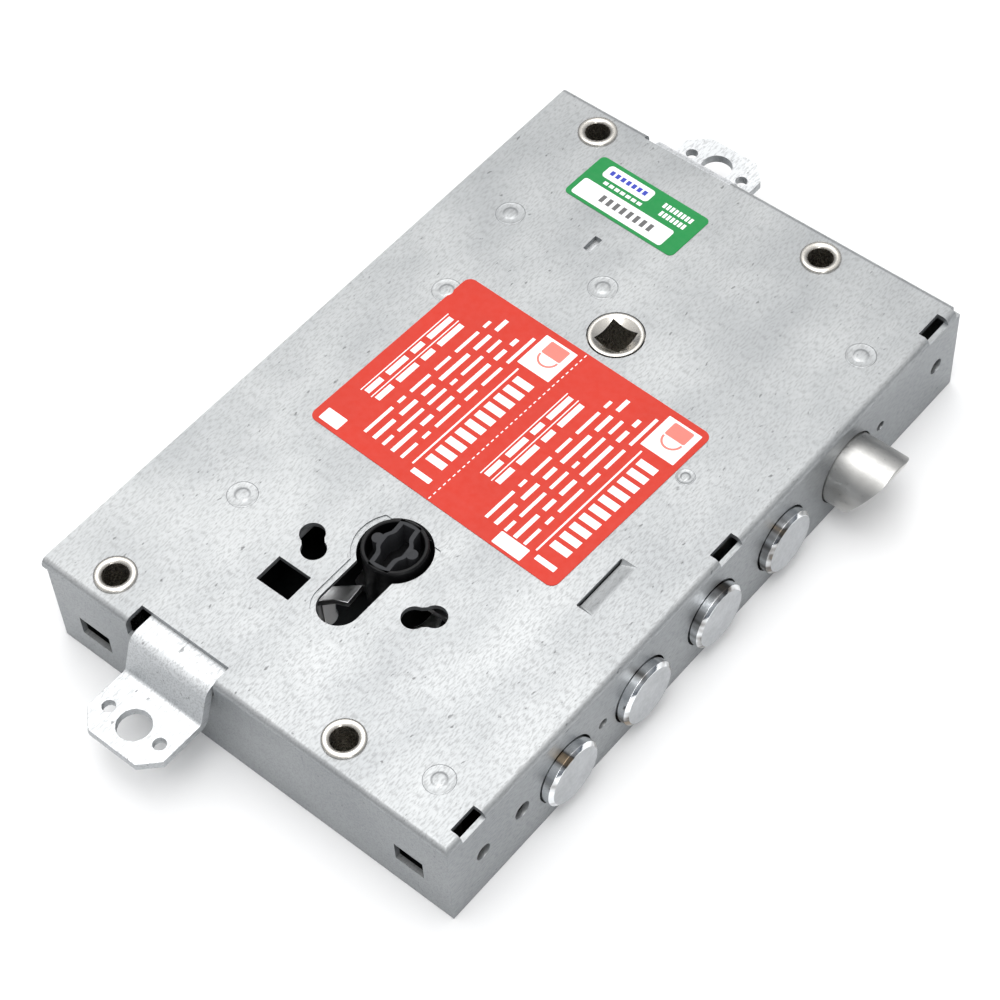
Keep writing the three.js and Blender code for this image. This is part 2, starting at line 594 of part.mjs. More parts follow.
function makeBlockerLever() {
  const { x, y, z0, z1, post, toeX } = BLOCKER;
  const outline = polygon([[x - 4, y + 4], [x + 4, y + 4], [x + 4, y - 5], [toeX, y - 13], [toeX, y - 19],
    [x - 1, y - 19], [x - 4, y - 5]]);
  return cut(plate(outline, z0, z1), pin(x, y, post + 0.05, z0 - 1, z1 + 1));
}

function makeBlockerSpring() {
  const { x, y, z0, z1 } = BLOCKER;
  const strip = polygon([[x - 4.5, y + 4], [x - 4, y + 4], [x - 4.2, y - 4], [x - 8, y - 16],
    [x - 8.5, y - 16], [x - 4.7, y - 4]]);
  return plate(strip, z0 + 0.5, z1 - 0.5);
}

function makeBlank() {
  const { x, y } = CYLINDER;
  const { radius, foot, taperEnd, taper, proud, rim, recess } = BLANK;
  const { reach, heart, height } = BLANK_GRIP;
  const top = CASE.depth + proud;
  const edge = 0.5;
  const plug = turned(x, y, [[0, foot], [radius - taper, foot], [radius, taperEnd], [radius, top - edge],
    [radius - edge, top], [radius - rim, top], [radius - rim, top - recess], [0, top - recess]], 24);
  const grip = slot(x, y - reach, x, y + reach, BLANK_GRIP.radius, top - height, top);
  return join(plug, grip, pin(x, y, heart, top - height, top, 20));
}

function makeLabel({ x, y, width, height, corner, turn }) {
  return plate(roundedRectangle(width, height, corner), CASE.depth, CASE.depth + LABEL_THICKNESS, 4)
    .rotate([0, 0, turn])
    .translate([x, y, 0]);
}

// ---- the assembly -------------------------------------------------------------------
addPart('case_cover', makeCover(), GALVANISED);
addPart('case_base', makeBase(), GALVANISED);
Object.entries(BUSH_PLACES).forEach(([place, at]) => addPart(`bush_${place}`, makeBush(at), NICKEL));
Object.entries(PILLAR_PLACES).forEach(([place, at]) => addPart(`pillar_${place}`, makePillar(at), STEEL));
addPart('bolt_guide', makeBoltGuide(), STEEL);
addPart('carriage_post_rear', makePost(CARRIAGE_POST.rearX, CARRIAGE_SLOT.y, CARRIAGE_POST.radius), STEEL);
addPart('carriage_post_front', makePost(CARRIAGE_POST.frontX, CARRIAGE_SLOT.y, CARRIAGE_POST.radius), STEEL);
addPart('pinion_post', makePost(PINION.x, PINION.y, PINION.bore - 0.05), STEEL);
addPart('rod_guide_upper', makeRodGuide(ROD_GUIDE.near, ROD_GUIDE.far), STEEL);
addPart('rod_guide_lower', makeRodGuide(-ROD_GUIDE.far, -ROD_GUIDE.near), STEEL);
addPart('red_label', makeLabel(RED_LABEL), RED);
addPart('green_label', makeLabel(GREEN_LABEL), GREEN);

BOLT_Y.forEach((y, i) => {
  addPart(`deadbolt_${i + 1}`, makeDeadbolt(y), CHROME);
  addPart(`bolt_rivet_${i + 1}`, makeBoltRivet(y), STEEL);
});
addPart('carriage_plate', makeCarriage(), STEEL);
addPart('cam_rack', makeCamRack(), STEEL);

addPart('transfer_pinion', makePinion(), STEEL);
addPart('upper_rod', makeUpperRod(), GALVANISED);
addPart('lower_rod', makeLowerRod(), GALVANISED);

addPart('latch_bolt', makeLatch(), NICKEL);
addPart('latch_tail', makeLatchTail(), STEEL);
addPart('latch_guide', makeLatchGuide(), STEEL);
addPart('latch_spring', makeLatchSpring(), STEEL);
addPart('spindle_hub', makeHub(), NICKEL);

addPart('detent_post', makePost(DETENT.x, DETENT.y, DETENT.post), STEEL);
addPart('detent_lever', makeDetentLever(), STEEL);
addPart('detent_spring', makeDetentSpring(), STEEL);
addPart('blocker_post', pin(BLOCKER.x, BLOCKER.y, BLOCKER.post, SHEET, BLOCKER.postTop), STEEL);
addPart('blocker_lever', makeBlockerLever(), STEEL);
addPart('blocker_spring', makeBlockerSpring(), STEEL);
addPart('cylinder_blank', makeBlank(), BLACK);

export default group;
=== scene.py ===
import json
import math

import bmesh
import bpy
from mathutils import Matrix, Vector


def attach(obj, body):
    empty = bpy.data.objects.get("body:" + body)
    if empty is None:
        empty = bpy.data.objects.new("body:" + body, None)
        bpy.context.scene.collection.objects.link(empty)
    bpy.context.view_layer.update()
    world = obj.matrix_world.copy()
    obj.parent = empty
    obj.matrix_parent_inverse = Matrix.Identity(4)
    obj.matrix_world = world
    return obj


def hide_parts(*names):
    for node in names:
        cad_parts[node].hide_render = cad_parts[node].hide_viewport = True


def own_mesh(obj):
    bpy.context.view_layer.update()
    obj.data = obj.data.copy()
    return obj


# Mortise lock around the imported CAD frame. Shapes are drawn in millimetres and scaled to metres.
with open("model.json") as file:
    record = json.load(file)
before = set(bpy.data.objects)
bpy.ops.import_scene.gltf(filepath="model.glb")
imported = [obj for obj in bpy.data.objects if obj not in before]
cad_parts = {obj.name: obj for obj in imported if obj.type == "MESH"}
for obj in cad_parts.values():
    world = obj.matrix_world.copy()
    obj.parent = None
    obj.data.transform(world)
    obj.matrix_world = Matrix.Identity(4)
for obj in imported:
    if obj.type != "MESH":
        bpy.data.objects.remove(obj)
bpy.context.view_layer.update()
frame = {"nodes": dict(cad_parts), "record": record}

MM = 0.001
PAST = 1  # how far a cutter runs past what it cuts
SHEET, SLACK = 1.5, 0.3  # the case's sheet, and the gap between cover and base
HALF_X, HALF_Y, DEPTH = 64.4, 100.5, 30.0
BEND = 2.0
BOLT_Y = [-59.3, -31.3, -3.3, 24.7]
BOLT_Z, BOLT_R, BOLT_TIP, BOLT_TAIL = 13.0, 9.0, 67.4, 25.0
LATCH_Y, LATCH_Z, LATCH_R, LATCH_TIP, LATCH_TAIL = 52.5, 13.0, 10.0, 78.9, 42.0
HUB_X, HUB_Y = 1.0, 39.7
CYL_X, CYL_Y, CYL_R, CYL_LEG, CYL_BOTTOM = 1.0, -45.3, 9.5, 11.2, -71.1
CYL_FOOT = CYL_BOTTOM + CYL_LEG / 2
BUSHES = {"rear_lower": (-47, -92.3), "front_lower": (26.6, -92.3),
          "rear_upper": (-47, 92.3), "front_upper": (26.6, 92.3)}
SCREW_SLOTS = [(-18.0, -54.0, -14.7, -57.2), (20.9, -54.0, 17.3, -57.2)]

# Openings in the cover: (y, radius) in the front plate, (y0, y1) along its bend, (x0, x1, y0, y1)
# in the top face, and (x0, x1, z0, z1) in the lower end.
PLATE_HOLES = [(-88.8, 2.3), (-75, 2.5), (-45.3, 1.5), (67, 1.5), (91.6, 2.3)]
BEND_WINDOWS = [(86.8, 95.1), (0, 8.3), (-95.1, -87.1)]
FACE_WINDOWS = [(-19.8, -9.5, -72, -63.8), (-24.1, -21.8, 57.5, 62.8)]
END_WINDOWS = [(-54.8, -44.7, 7.6, 14.2), (47.5, 56.1, 9.7, 16.3)]
ROD_SLOT_X, ROD_SLOT_LOW = (-35.8, -7.4), 24.5
ROD_SLOT_INNER = (-94.6, 98.4)
STAKES = [(-46.8, 55.3), (-11.5, 50), (53.6, 72.1), (-39.4, -55.9), (50.6, -86.8), (-42.7, 24.7)]
SMALL_STAKE = (42.2, 14.9)


# ---- outlines ------------------------------------------------------------------------
def arc(x, y, radius, start, end, steps):
    """Points on an arc, angles in degrees, both ends included."""
    turns = [math.radians(start + (end - start) * i / steps) for i in range(steps + 1)]
    return [(x + radius * math.cos(a), y + radius * math.sin(a)) for a in turns]


def circle(x, y, radius, steps=64):
    return arc(x, y, radius, 0, 360 - 360 / steps, steps - 1)


def rectangle(x0, x1, y0, y1):
    return [(x0, y0), (x1, y0), (x1, y1), (x0, y1)]


def rounded(x, y, width, height, corner, steps=6):
    w, h = width / 2 - corner, height / 2 - corner
    corners = [(w, h, 0), (-w, h, 90), (-w, -h, 180), (w, -h, 270)]
    return [p for cx, cy, a in corners for p in arc(x + cx, y + cy, corner, a, a + 90, steps)]


def keyhole():
    """The euro cylinder's outline: a circle over a narrower leg with a round foot."""
    half = CYL_LEG / 2
    meet = math.degrees(math.asin(half / CYL_R))
    top = arc(CYL_X, CYL_Y, CYL_R, meet - 90, 270 - meet, 60)
    return top + arc(CYL_X, CYL_FOOT, half, 180, 360, 24)


def coined_rim():
    """The pressed border of the cylinder opening, which stops short of the top."""
    grow, rise = 1.4, 6.6
    radius, half = CYL_R + grow, CYL_LEG / 2 + grow
    meet = math.degrees(math.asin(half / radius))
    stop = math.degrees(math.asin(rise / radius))
    right = arc(CYL_X, CYL_Y, radius, meet - 90, stop, 24)
    left = arc(CYL_X, CYL_Y, radius, 180 - stop, 270 - meet, 24)
    return right + left + arc(CYL_X, CYL_FOOT, half, 180, 360, 24)


def figure_eight(ax, ay, bx, by, radius=3.25, neck=2.8):
    """Two round holes run together, with a slightly narrower neck between them."""
    turn = math.degrees(math.atan2(by - ay, bx - ax))
    waist = math.degrees(math.asin(neck / radius))
    far = arc(bx, by, radius, turn - 180 + waist, turn + 180 - waist, 30)
    near = arc(ax, ay, radius, turn + waist, turn + 360 - waist, 30)
    return far + near


# ---- meshes --------------------------------------------------------------------------
def place(plane, a, b, c):
    """A point from two outline coordinates and a height along the extrusion."""
    return {"z": (a, b, c), "y": (a, c, b), "x": (c, a, b)}[plane]


def mesh_object(name, bm):
    bmesh.ops.remove_doubles(bm, verts=bm.verts, dist=1e-5)
    bmesh.ops.recalc_face_normals(bm, faces=bm.faces)
    mesh = bpy.data.meshes.new(name)
    bm.to_mesh(mesh)
    bm.free()
    obj = bpy.data.objects.new(name, mesh)
    bpy.context.scene.collection.objects.link(obj)
    return obj


def add_prism(bm, outline, low, high, plane="z"):
    bottom = [bm.verts.new(place(plane, a, b, low)) for a, b in outline]
    top = [bm.verts.new(place(plane, a, b, high)) for a, b in outline]
    bm.faces.new(bottom)
    bm.faces.new(top)
    for i in range(len(outline)):
        j = (i + 1) % len(outline)
        bm.faces.new((bottom[i], bottom[j], top[j], top[i]))


def prism(name, outline, low, high, plane="z"):
    bm = bmesh.new()
    add_prism(bm, outline, low, high, plane)
    return mesh_object(name, bm)


def prisms(name, pieces):
    """One mesh of several separate prisms: (outline, low, high, plane)."""
    bm = bmesh.new()
    for piece in pieces:
        add_prism(bm, *piece)
    return mesh_object(name, bm)


def lathe(name, profile, steps=72, centre=(0, 0, 0), plane="z"):
    """Turns (radius, height) points about an axis; points of radius 0 close the ends."""
    bm = bmesh.new()
    rings = []
    for radius, height in profile:
        if radius < 1e-6:
            rings.append([bm.verts.new(place(plane, 0, 0, height))])
        else:
            ring = circle(0, 0, radius, steps)
            rings.append([bm.verts.new(place(plane, x, y, height)) for x, y in ring])
    closed = len(rings[0]) > 1
    pairs = list(zip(rings, rings[1:])) + ([(rings[-1], rings[0])] if closed else [])
    for one, two in pairs:
        for i in range(steps):
            j = (i + 1) % steps
            corners = [one[i % len(one)], one[j % len(one)], two[j % len(two)], two[i % len(two)]]
            unique = list(dict.fromkeys(corners))
            if len(unique) > 2:
                bm.faces.new(unique)
    bmesh.ops.translate(bm, verts=bm.verts, vec=centre)
    return mesh_object(name, bm)


def hull(name, points):
    """The convex solid round a few points."""
    bm = bmesh.new()
    for point in points:
        bm.verts.new(point)
    made = bmesh.ops.convex_hull(bm, input=bm.verts)
    loose = [v for v in made["geom_interior"] if isinstance(v, bmesh.types.BMVert)]
    bmesh.ops.delete(bm, geom=loose, context="VERTS")
    return mesh_object(name, bm)


def apply_modifiers(obj):
    graph = bpy.context.evaluated_depsgraph_get()
    fresh = bpy.data.meshes.new_from_object(obj.evaluated_get(graph))
    obj.modifiers.clear()
    obj.data = fresh


def combine(obj, other, operation="DIFFERENCE"):
    """Applies one exact boolean and removes the other object."""
    step = obj.modifiers.new("combine", "BOOLEAN")
    step.operation, step.object, step.solver = operation, other, "EXACT"
    apply_modifiers(obj)
    bpy.data.objects.remove(other)
    return obj


def shade(obj, angle=35):
    """Smooth shading that stays flat on flat faces, with sharp edges above the angle."""
    bm = bmesh.new()
    bm.from_mesh(obj.data)
    for face in bm.faces:
        face.smooth = True
    for edge in bm.edges:
        edge.smooth = len(edge.link_faces) == 2 and edge.calc_face_angle(0) < math.radians(angle)
    bm.to_mesh(obj.data)
    bm.free()
    step = obj.modifiers.new("normals", "WEIGHTED_NORMAL")
    step.mode, step.weight, step.keep_sharp = "FACE_AREA", 100, True
    apply_modifiers(obj)


def soften(obj, width, segments=2, angle=30):
    """Breaks the sharp edges with a small rounding."""
    step = obj.modifiers.new("edges", "BEVEL")
    step.width, step.segments = width, segments
    step.limit_method, step.angle_limit = "ANGLE", math.radians(angle)
    step.use_clamp_overlap, step.harden_normals = True, False
    apply_modifiers(obj)


def finish_piece(obj, body, material, nodes=(), edge=0.0, angle=35, extra=()):
    """Scales a piece to metres, gives it its body and materials, and hides the CAD nodes it
    replaces.
    """
    if edge:
        soften(obj, edge)
    obj.data.transform(Matrix.Scale(MM, 4))
    shade(obj, angle)
    obj.data.materials.clear()
    for item in (material, *extra):
        obj.data.materials.append(item)
    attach(obj, body)
    if nodes:
        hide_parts(*nodes)
    return obj


# ---- materials -----------------------------------------------------------------------
def new_material(name):
    material = bpy.data.materials.new(name)
    material.use_nodes = True
    tree = material.node_tree
    return material, tree, tree.nodes["Principled BSDF"]


def node(tree, kind, inputs=None, **settings):
    """Adds a node; its inputs are given as sockets to link or as plain values."""
    made = tree.nodes.new(kind)
    for key, value in settings.items():
        setattr(made, key, value)
    for key, value in (inputs or {}).items():
        if isinstance(value, bpy.types.NodeSocket):
            tree.links.new(value, made.inputs[key])
        else:
            made.inputs[key].default_value = value
    return made


def grain(tree, scale, detail=3.0, roughness=0.55):
    """Noise over the object, scaled apart along X, Y and Z so that it has a direction."""
    coords = node(tree, "ShaderNodeTexCoord")
    mapped = node(tree, "ShaderNodeMapping", {"Vector": coords.outputs["Object"], "Scale": scale})
    made = node(tree, "ShaderNodeTexNoise", {"Vector": mapped.outputs["Vector"], "Scale": 1,
                                             "Detail": detail, "Roughness": roughness})
    return made.outputs["Fac"]


def spread(tree, value, low, high, to_low, to_high):
    """Maps the range low to high onto another range, and holds it at both ends."""
    made = node(tree, "ShaderNodeMapRange", {"Value": value, "From Min": low, "From Max": high,
                                             "To Min": to_low, "To Max": to_high})
    return made.outputs["Result"]


def varied(tree, mask, low, high):
    """A value that drifts from low to high with the middle of a noise's range."""
    return spread(tree, mask, 0.3, 0.7, low, high)


def blend_colours(tree, factor, one, two):
    made = node(tree, "ShaderNodeMix", {"Factor": factor}, data_type="RGBA")
    for socket, colour in ((made.inputs[6], one), (made.inputs[7], two)):
        if isinstance(colour, bpy.types.NodeSocket):
            tree.links.new(colour, socket)
        else:
            socket.default_value = colour
    return made.outputs[2]


def maths(tree, operation, *values):
    return node(tree, "ShaderNodeMath", dict(enumerate(values)), operation=operation).outputs[0]


def grey(value):
    return (value, value, value, 1)


def scaled(colour, factor):
    """A lighter or darker version of a colour."""
    return tuple(c * factor for c in colour[:3]) + (1,)


def surface(tree, shader, colour, roughness, metallic=0.0):
    """Sets a material's colour and roughness from nodes, and how metallic it is."""
    tree.links.new(colour, shader.inputs["Base Color"])
    tree.links.new(roughness, shader.inputs["Roughness"])
    shader.inputs["Metallic"].default_value = metallic


def bumped(tree, shader, height, strength, distance):
    made = node(tree, "ShaderNodeBump",
                {"Height": height, "Strength": strength, "Distance": distance})
    tree.links.new(made.outputs["Normal"], shader.inputs["Normal"])


def sheet_metal(name, light, dark, metallic=0.75):
    """Galvanised sheet: dashes along the rolling direction, blotches, pits, painted shade on
    walls.
    """
    # The last depth and the blue-grey colour below are painted shade for the upright walls.
    dash_depth, pit_depth, wall_shade_depth = 0.36, 0.6, 0.55
    wall_shade_colour = (0.16, 0.175, 0.19, 1)
    material, tree, shader = new_material(name)
    dashes = grain(tree, (2300, 620, 2300), 2)
    blotches = grain(tree, (45, 30, 45), 5)
    pits = grain(tree, (900, 420, 900), 2, 0.4)
    dash_mask = maths(tree, "MULTIPLY", spread(tree, dashes, 0.38, 0.52, 1, 0), dash_depth)
    pit_mask = maths(tree, "MULTIPLY", spread(tree, pits, 0.24, 0.31, 1, 0), pit_depth)
    base = blend_colours(tree, spread(tree, blotches, 0.35, 0.65, 0, 1), dark, light)
    dashed = blend_colours(tree, dash_mask, base, grey(0.25))
    pitted = blend_colours(tree, pit_mask, dashed, grey(0.08))
    normal = node(tree, "ShaderNodeTexCoord").outputs["Normal"]
    facing_up = node(tree, "ShaderNodeSeparateXYZ", {"Vector": normal}).outputs["Z"]
    # Painted shade: faces whose normal has little Z are mixed towards the dark wall colour.
    wall_shade_mask = spread(tree, maths(tree, "ABSOLUTE", facing_up), 0.15, 0.8, wall_shade_depth, 0)
    wall_shaded = blend_colours(tree, wall_shade_mask, pitted, wall_shade_colour)
    surface(tree, shader, wall_shaded, varied(tree, dashes, 0.5, 0.36), metallic)
    bumped(tree, shader, maths(tree, "ADD", dashes, pits), 0.4, 0.00005)
    return material


def chrome_with_painted_reflections(name):
    """Polished chrome with painted reflections: light and dark bands along the bolt and a faint
    warm band.
    """
    dark, reflection_bright, warm_reflection = (0.15, 0.14, 0.13, 1), (0.92, 0.94, 0.96, 1), (0.3, 0.22, 0.14, 1)
    material, tree, shader = new_material(name)
    reflection_bands = grain(tree, (12, 170, 170), 2)
    lines = grain(tree, (300, 2400, 2400))
    # Painted reflections: noise bands run from dark to bright, with a warm tone in the darkest.
    reflected_colour = blend_colours(tree, spread(tree, reflection_bands, 0.4, 0.56, 0, 1), dark, reflection_bright)
    warm_reflected = blend_colours(tree, spread(tree, reflection_bands, 0.33, 0.38, 0.7, 0), reflected_colour, warm_reflection)
    surface(tree, shader, warm_reflected, varied(tree, lines, 0.06, 0.16), 1)
    bumped(tree, shader, lines, 0.05, 0.00003)
    return material


def turned_metal(name, colour, roughness, scale, strength=0.15):
    """Polished or satin metal with a fine grain and faint handling marks."""
    material, tree, shader = new_material(name)
    lines = grain(tree, scale)
    marks = grain(tree, (160, 160, 160), 4)
    tinted = blend_colours(tree, varied(tree, marks, 0, 1), colour, scaled(colour, 0.86))
    surface(tree, shader, tinted, varied(tree, lines, roughness * 0.75, roughness * 1.3), 1)
    bumped(tree, shader, lines, strength, 0.00003)
    return material


def moulded(name, colour, roughness, scale=900, strength=0.2, gloss=0.5):
    """Plastic with a fine moulded skin and slight colour drift."""
    material, tree, shader = new_material(name)
    shader.inputs["Specular IOR Level"].default_value = gloss
    skin = grain(tree, (scale, scale, scale))
    drift = grain(tree, (60, 60, 60))
    tinted = blend_colours(tree, drift, colour, scaled(colour, 1.18))
    surface(tree, shader, tinted, varied(tree, skin, roughness * 0.85, roughness * 1.15))
    bumped(tree, shader, skin, strength, 0.00004)
    return material


COVER = sheet_metal("galvanised_cover", (0.52, 0.532, 0.535, 1), (0.41, 0.423, 0.43, 1))
BASE = sheet_metal("galvanised_base", (0.5, 0.52, 0.53, 1), (0.4, 0.42, 0.43, 1))
STRAP = sheet_metal("galvanised_strap", (0.9, 0.91, 0.92, 1), (0.72, 0.74, 0.75, 1), 0.55)
# The bolts' sides carry painted reflections in their colour.
CHROME_PAINTED_REFLECTIONS = chrome_with_painted_reflections("chrome_side_painted_reflections")
CHROME_END = turned_metal("chrome_end", (0.5, 0.515, 0.53, 1), 0.42, (900, 900, 900), 0.2)
NICKEL = turned_metal("satin_nickel", (0.72, 0.69, 0.64, 1), 0.26, (1100, 1100, 1100), 0.15)
LATCH = turned_metal("latch_nickel", (0.56, 0.555, 0.54, 1), 0.36, (1500, 2600, 2600), 0.5)
STEEL = turned_metal("plain_steel", (0.46, 0.465, 0.47, 1), 0.36, (1500, 500, 1500), 0.3)
# Near-black steel for the inside of the back plate: painted shade where the case is dark inside.
INSIDE_SHADE = turned_metal("inner_face_painted_shade", (0.05, 0.052, 0.055, 1), 0.5, (900, 500, 900), 0.3)
BLACK = moulded("black_plastic", (0.002, 0.002, 0.0024, 1), 0.4, gloss=0.25)
RIDGE = moulded("black_plastic_matt", (0.03, 0.031, 0.034, 1), 0.6, gloss=0.3)
RED = moulded("red_print", (0.56, 0.028, 0.011, 1), 0.6, 500, 0.1)
GREEN = moulded("green_print", (0.004, 0.23, 0.05, 1), 0.6, 500, 0.1)
WHITE = moulded("white_print", (0.86, 0.86, 0.86, 1), 0.5, 500, 0.1)
PINK = moulded("pale_red_print", (0.82, 0.2, 0.16, 1), 0.5, 500, 0.1)
BLUE = moulded("blue_print", (0.03, 0.05, 0.42, 1), 0.5, 500, 0.1)
INK = moulded("grey_print", (0.12, 0.12, 0.12, 1), 0.5, 500, 0.1)


# ---- case ----------------------------------------------------------------------------
def bent_form(name, inset):
    """The cover's form, bent along the front edge and both ends, less the inset."""
    sharpest = 0.5
    radius = max(BEND - inset, sharpest)
    top, front, end = DEPTH - inset, HALF_X - inset, HALF_Y - inset
    past = PAST if inset else 0
    floor, rear = -past, -HALF_X - past
    side = [(rear, floor), (front, floor)]
    side += arc(front - radius, top - radius, radius, 0, 90, 10) + [(rear, top)]
    across = [(-end, floor), (end, floor)]
    across += arc(end - radius, top - radius, radius, 0, 90, 10)
    across += arc(radius - end, top - radius, radius, 90, 180, 10)
    form = prism(name, side, -end - PAST, end + PAST, "y")
    cutter = prism("across", across, rear - PAST, front + PAST, "x")
    return combine(form, cutter, "INTERSECT")


def face_openings(low, high):
    """What goes through both faces: bushes, hub, cylinder and screw slots."""
    bush_hole, hub_hole = 4.7, 7.6
    holes = [circle(x, y, bush_hole) for x, y in BUSHES.values()]
    holes.append(circle(HUB_X, HUB_Y, hub_hole))
    holes.append(keyhole())
    holes += [figure_eight(*slot) for slot in SCREW_SLOTS]
    return [(outline, low, high, "z") for outline in holes]


def front_holes():
    """The round holes in the front plate: bolts, latch and the small ones between."""
    bolt_gap, latch_gap = 0.45, 0.4
    holes = [(y, BOLT_Z, BOLT_R + bolt_gap) for y in BOLT_Y]
    holes.append((LATCH_Y, LATCH_Z, LATCH_R + latch_gap))
    holes += [(y, DEPTH / 2, radius) for y, radius in PLATE_HOLES]
    return [(circle(y, z, radius), 60, 66, "x") for y, z, radius in holes]


def edge_openings(under, over):
    """The windows in the top face and the lower end, the rods' slots and the corner cuts."""
    outside = HALF_Y + SHEET
    rod_low, rod_high = ROD_SLOT_INNER
    openings = [(rectangle(*window), under, over, "z") for window in FACE_WINDOWS]
    for y0, y1 in ((-outside, rod_low), (rod_high, outside)):
        openings.append((rectangle(*ROD_SLOT_X, y0, y1), ROD_SLOT_LOW, over, "z"))
    openings += [(rectangle(*window), -outside, -95, "y") for window in END_WINDOWS]
    for y0, y1 in ((-outside, -97.5), (97.5, outside)):
        openings.append((rectangle(-66, -62.6, y0, y1), -PAST, 27.5, "z"))
    openings.append((rectangle(62.4, 66, 98.7, outside), 27.4, over, "z"))
    return openings


def lanced_channel():
    """The ramp that is pressed down beside the sheared slit."""
    y0, y1 = -31.2, -13.2
    corners = [(45.1, 28.75, 1.5), (48.5, 29.3, 1.5), (45.1, 30.3, 0), (50.6, 30.3, 0)]
    return hull("channel", [(x, y, z) for x, z, inset in corners
                            for y in (y0 + inset, y1 - inset)])


def make_cover():
    under, over, coining = 20, DEPTH + PAST, 0.4
    cover = combine(bent_form("cover_skin", 0), bent_form("inside", SHEET))
    openings = face_openings(under, over) + front_holes() + edge_openings(under, over)
    combine(cover, prisms("openings", openings))
    for name, front, low in (("window_inner", 63, under), ("window_outer", 66, 28)):
        steps = [(rectangle(60.9, front, y0, y1), low, over, "z") for y0, y1 in BEND_WINDOWS]
        combine(cover, prisms(name, steps))
    combine(cover, prism("rim", coined_rim(), DEPTH - coining, over))
    combine(cover, lanced_channel())
    combine(cover, prism("shear", rectangle(44.95, 45.35, -30.6, -13.8), under, over))
    finish_piece(cover, "case", COVER, ["case_cover"], edge=0.12)


def make_base():
    """The back plate and the rear wall, one sheet with a bend between them."""
    wall_top = 28.2
    back, end = HALF_X - SHEET - SLACK, HALF_Y - SHEET - SLACK
    outline = [(back, 0)] + arc(BEND - HALF_X, BEND, BEND, 270, 180, 10)
    outline += [(-HALF_X, wall_top), (SHEET - HALF_X, wall_top)]
    outline += arc(BEND - HALF_X, BEND, BEND - SHEET, 180, 270, 6) + [(back, SHEET)]
    base = prism("base_skin", outline, -end, end, "y")
    combine(base, prisms("openings", face_openings(-PAST, 2 * SHEET)))
    finish_piece(base, "case", BASE, ["case_base"], edge=0.12, extra=(INSIDE_SHADE,))
    # Upward faces low in the base take the second material: painted shade on the inside of the
    # back plate.
    for face in base.data.polygons:
        if face.normal.z > 0.95 and face.center.z < 2 * SHEET * MM:
            face.material_index = 1


def make_lever():
    """The pointed lever that shows through the cylinder opening, on a post of its own."""
    low, high = 18, 20
    outline = [(-3.6, -52.8), (-6.6, -55.4), (-12.5, -60.6), (-12.5, -64), (-9.5, -64),
               (-6.2, -60.6), (-3.0, -59.2)]
    lever = prism("lever_bit", outline, low, high)
    combine(lever, prism("post", circle(-11, -62.4, 1.4, 24), SHEET, low + 0.5), "UNION")
    finish_piece(lever, "case", STEEL, edge=0.4)


def make_stakes():
    """Stake marks where the pillars and nuts are riveted into the cover."""
    small_size = 0.62
    profile = [(0, 29.9), (4.0, 29.9), (4.0, 30.0), (3.85, 30.09), (3.6, 30.1), (3.45, 30.02),
               (2.3, 30.02), (1.95, 30.06), (1.8, 30.16), (1.3, 30.22), (0, 30.24)]
    small = [(radius * small_size, z) for radius, z in profile]
    marks = [(f"stake_{i + 1}", profile, spot) for i, spot in enumerate(STAKES)]
    marks.append(("stake_small", small, SMALL_STAKE))
    for name, shape, (x, y) in marks:
        finish_piece(lathe(name, shape, 48, (x, y, 0)), "case", COVER, angle=60)


def make_bushes():
    profile = [(3.2, 0), (4.4, 0), (4.4, 30.0), (5.3, 30.0), (5.4, 30.12), (5.38, 30.42),
               (5.2, 30.66), (4.8, 30.78), (4.3, 30.8), (3.9, 30.72), (3.45, 30.4), (3.2, 29.9)]
    for corner, (x, y) in BUSHES.items():
        piece = lathe(f"bush_{corner}_fine", profile, 72, (x, y, 0))
        finish_piece(piece, "case", NICKEL, [f"bush_{corner}"], angle=50)


# ---- bolts, latch, hub ---------------------------------------------------------------
def make_deadbolts():
    rivet_x, rivet_hole = 30, 2.8
    profile = [(0, BOLT_TAIL), (8.0, BOLT_TAIL), (BOLT_R, 26.0), (BOLT_R, 66.5), (8.95, 66.62),
               (8.15, 67.33), (8.0, BOLT_TIP), (0, BOLT_TIP)]
    for index, y in enumerate(BOLT_Y):
        bolt = lathe(f"deadbolt_{index + 1}_fine", profile, 96, (0, y, BOLT_Z), "x")
        combine(bolt, prism("rivet_hole", circle(rivet_x, y, rivet_hole, 32), 10, 23))
        finish_piece(bolt, "carriage", CHROME_PAINTED_REFLECTIONS, [f"deadbolt_{index + 1}"],
                     extra=(CHROME_END,))
        for face in bolt.data.polygons:
            if face.normal.x > 0.95 and face.center.x > (BOLT_TIP - 0.2) * MM:
                face.material_index = 1


def make_latch():
    """The latch bolt, with its lead-in slope cut from the tip down to the case."""
    land, slope_start, reach = 1.2, 66.9, 5
    profile = [(0, LATCH_TAIL), (9.5, LATCH_TAIL), (LATCH_R, 42.5), (LATCH_R, 78.5),
               (9.85, 78.8), (9.6, LATCH_TIP), (0, LATCH_TIP)]
    latch = lathe("latch_bolt_fine", profile, 96, (0, LATCH_Y, LATCH_Z), "x")
    high, low = LATCH_Z + LATCH_R - land, LATCH_Z - LATCH_R
    slope = (LATCH_TIP - slope_start) / (high - low)
    wedge = [(LATCH_TIP, high), (LATCH_TIP + reach, high), (LATCH_TIP + reach, low - reach),
             (slope_start - reach * slope, low - reach)]
    combine(latch, prism("bevel", wedge, LATCH_Y - 2 * LATCH_R, LATCH_Y + 2 * LATCH_R, "y"))
    finish_piece(latch, "latch", LATCH, ["latch_bolt"], edge=0.25)


